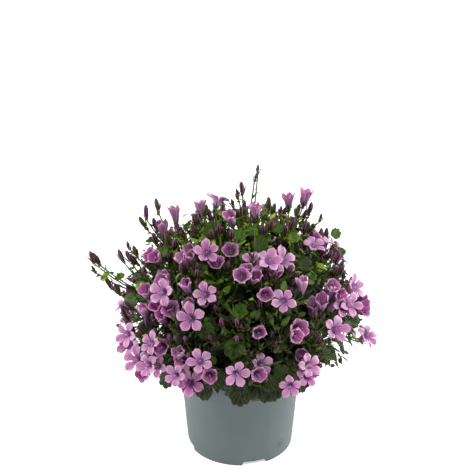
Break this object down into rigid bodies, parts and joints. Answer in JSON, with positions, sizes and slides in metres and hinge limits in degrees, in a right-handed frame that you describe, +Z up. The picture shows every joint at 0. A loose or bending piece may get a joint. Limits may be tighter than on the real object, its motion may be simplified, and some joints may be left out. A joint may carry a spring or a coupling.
{
  "type": "potted bellflower",
  "caption": "Pink bellflower in bloom: a dome of thin leafy stems and sprays of open bells, cups and buds, growing in compost in a round tapered nursery pot.",
  "frame": {"origin": "centre of the pot's flat underside, on the surface that it stands on", "axes": "+Z up along the pot's axis; the plant's best side, which the picture shows, faces -Y"},
  "size_m": [0.2762, 0.2518, 0.27],
  "materials": {
    "pot_plastic": "moulded polypropylene in matt slate grey-green, finely grained, with light handling scuffs",
    "compost": "moist dark peat compost, fibrous and crumbly",
    "stem_and_leaf": "living stems and toothed leaves, mid to dark green, satin, with paler veins",
    "petal": "soft satin petals in mauve pink, darker in the throat, with violet veins and a pale edge"
  },
  "bodies": {
    "root": {"pot": "pot_plastic", "compost": "compost", "stem_01": "stem_and_leaf", "stem_02": "stem_and_leaf", "stem_03": "stem_and_leaf", "stem_04": "stem_and_leaf", "stem_05": "stem_and_leaf", "stem_06": "stem_and_leaf", "stem_07": "stem_and_leaf", "stem_08": "stem_and_leaf", "stem_09": "stem_and_leaf", "stem_10": "stem_and_leaf", "stem_11": "stem_and_leaf", "stem_12": "stem_and_leaf", "stem_13": "stem_and_leaf", "stem_14": "stem_and_leaf", "stem_15": "stem_and_leaf", "stem_16": "stem_and_leaf", "stem_17": "stem_and_leaf", "stem_18": "stem_and_leaf", "stem_19": "stem_and_leaf", "stem_20": "stem_and_leaf", "stem_21": "stem_and_leaf", "stem_22": "stem_and_leaf", "stem_23": "stem_and_leaf", "stem_24": "stem_and_leaf", "stem_25": "stem_and_leaf", "stem_26": "stem_and_leaf", "stem_27": "stem_and_leaf", "stem_28": "stem_and_leaf", "spray_01": "petal", "spray_02": "petal", "spray_03": "petal", "spray_04": "petal", "spray_05": "petal", "spray_06": "petal", "spray_07": "petal", "spray_08": "petal", "spray_09": "petal", "spray_10": "petal", "spray_11": "petal", "spray_12": "petal", "spray_13": "petal", "spray_14": "petal", "spray_15": "petal", "spray_16": "petal", "spray_17": "petal", "spray_18": "petal", "spray_19": "petal", "spray_20": "petal", "spray_21": "petal", "spray_22": "petal", "spray_23": "petal", "spray_24": "petal", "spray_25": "petal", "spray_26": "petal", "spray_27": "petal", "spray_28": "petal"}
  },
  "joints": []
}
